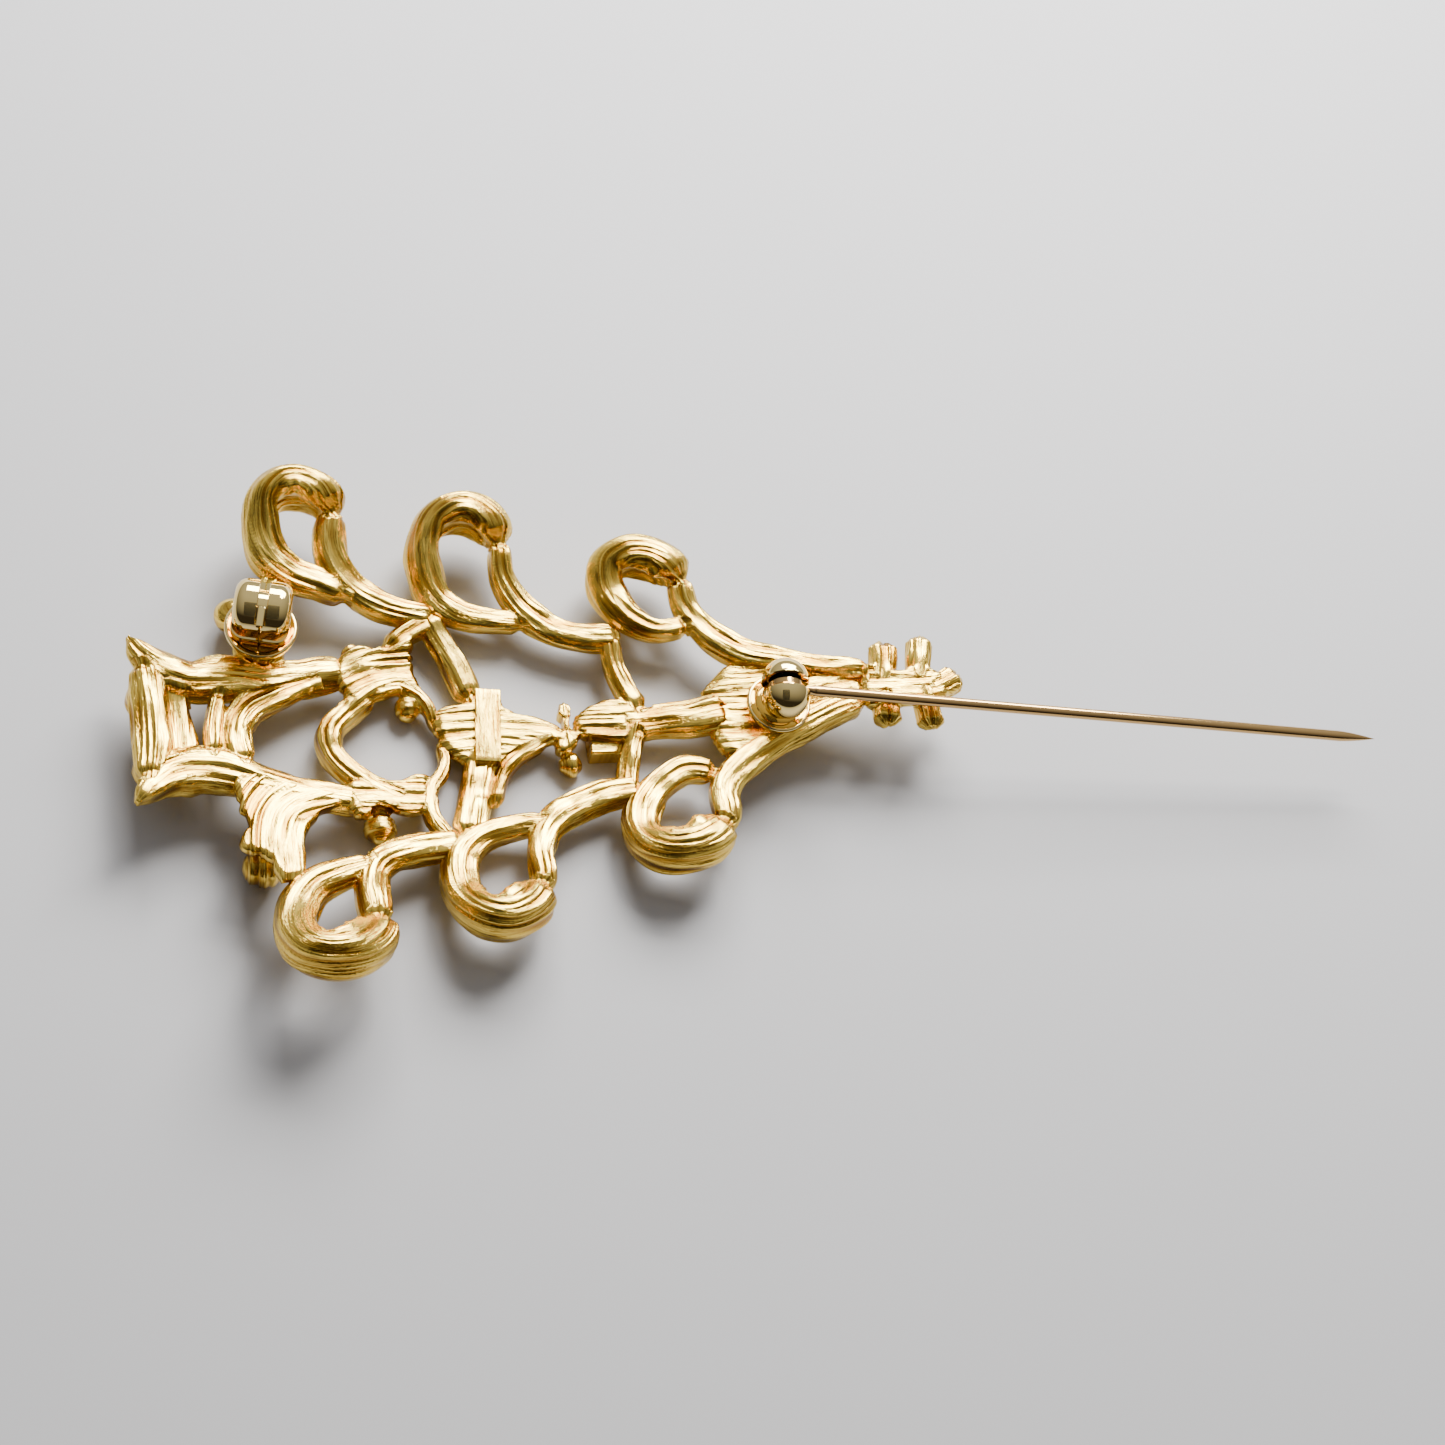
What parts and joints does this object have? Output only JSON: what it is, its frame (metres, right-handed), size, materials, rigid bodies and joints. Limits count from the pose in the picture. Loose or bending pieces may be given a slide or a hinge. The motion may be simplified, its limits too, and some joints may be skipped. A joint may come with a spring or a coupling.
{
  "type": "brooch",
  "caption": "Open-work fir-tree brooch of cast scrolls, with a hinged pin and a roll-over safety catch on its back.",
  "frame": {"origin": "centre of the bounding box's bottom face, on the surface that the brooch lies on face down", "axes": "+X from the foot of the tree to its star, +Z out of the back, +Y across the tree toward the catch's side"},
  "size_m": [0.0958, 0.041, 0.0094],
  "materials": {
    "cast_gold": "brushed gold plate",
    "polished_findings": "polished gold plate",
    "pin_wire": "polished, a little darker"
  },
  "bodies": {
    "brooch": {"scroll_1_upper_hook": "cast_gold", "scroll_1_lower_hook": "cast_gold", "scroll_1_upper_return": "cast_gold", "scroll_1_lower_return": "cast_gold", "scroll_2_upper_hook": "cast_gold", "scroll_2_lower_hook": "cast_gold", "scroll_2_upper_return": "cast_gold", "scroll_2_lower_return": "cast_gold", "scroll_3_upper_hook": "cast_gold", "scroll_3_lower_hook": "cast_gold", "scroll_3_upper_return": "cast_gold", "scroll_3_lower_return": "cast_gold", "foot_bridge": "cast_gold", "trunk_upper": "cast_gold", "trunk_lower": "cast_gold", "trunk_fork": "cast_gold", "catch_arm": "cast_gold", "catch_pad": "cast_gold", "inner_v_ribbon": "cast_gold", "arch_upper": "cast_gold", "ribbon_upper": "cast_gold", "ribbon_lower": "cast_gold", "centre_strand_upper": "cast_gold", "centre_strand_lower": "cast_gold", "centre_rib": "cast_gold", "strut_upper": "cast_gold", "strut_lower": "cast_gold", "stalk": "cast_gold", "star_point_1": "cast_gold", "star_point_2": "cast_gold", "star_point_3": "cast_gold", "star_point_4": "cast_gold", "star_point_5": "cast_gold", "foot_plate": "cast_gold", "leaf_plate": "cast_gold", "centre_plate": "cast_gold", "lower_plate": "cast_gold", "fan_plate": "cast_gold", "boss": "cast_gold", "waist_tab": "cast_gold", "hub": "cast_gold", "star_head": "cast_gold", "front_block": "cast_gold", "front_bead_foot": "cast_gold", "front_bead_root": "cast_gold", "front_bead_catch": "cast_gold", "front_bead_fan": "cast_gold", "front_bead_ribbon": "cast_gold", "front_bead_pocket": "cast_gold", "front_bead_waist": "cast_gold", "blank_tag": "cast_gold", "joint_ball": "polished_findings", "joint_rivet": "pin_wire", "catch_base": "polished_findings", "catch_cup_star_side": "polished_findings", "catch_cup_foot_side": "polished_findings"},
    "pin_pivot": {"pin_eye": "pin_wire"},
    "pin": {"pin_stem": "pin_wire"},
    "roller": {"catch_roller": "pin_wire"}
  },
  "joints": [
    {"name": "pin_swing", "type": "hinge", "parent": "brooch", "child": "pin_pivot", "pos_m": [-0.00041, -0.00044, 0.00666], "axis": [-0.1163, -0.9932, 0], "range_deg": [0, 181.8]},
    {"name": "pin_flex", "type": "hinge", "parent": "pin_pivot", "child": "pin", "pos_m": [-0.00041, -0.00044, 0.00666], "axis": [0.0451, -0.0053, 0.999], "range_deg": [0, 4.92], "stiffness_Nm_per_rad": 0.05},
    {"name": "catch_roll", "type": "hinge", "parent": "brooch", "child": "roller", "pos_m": [-0.03811, 0.00736, 0.00719], "axis": [-0.9793, 0.2026, 0], "range_deg": [0, 100]}
  ]
}
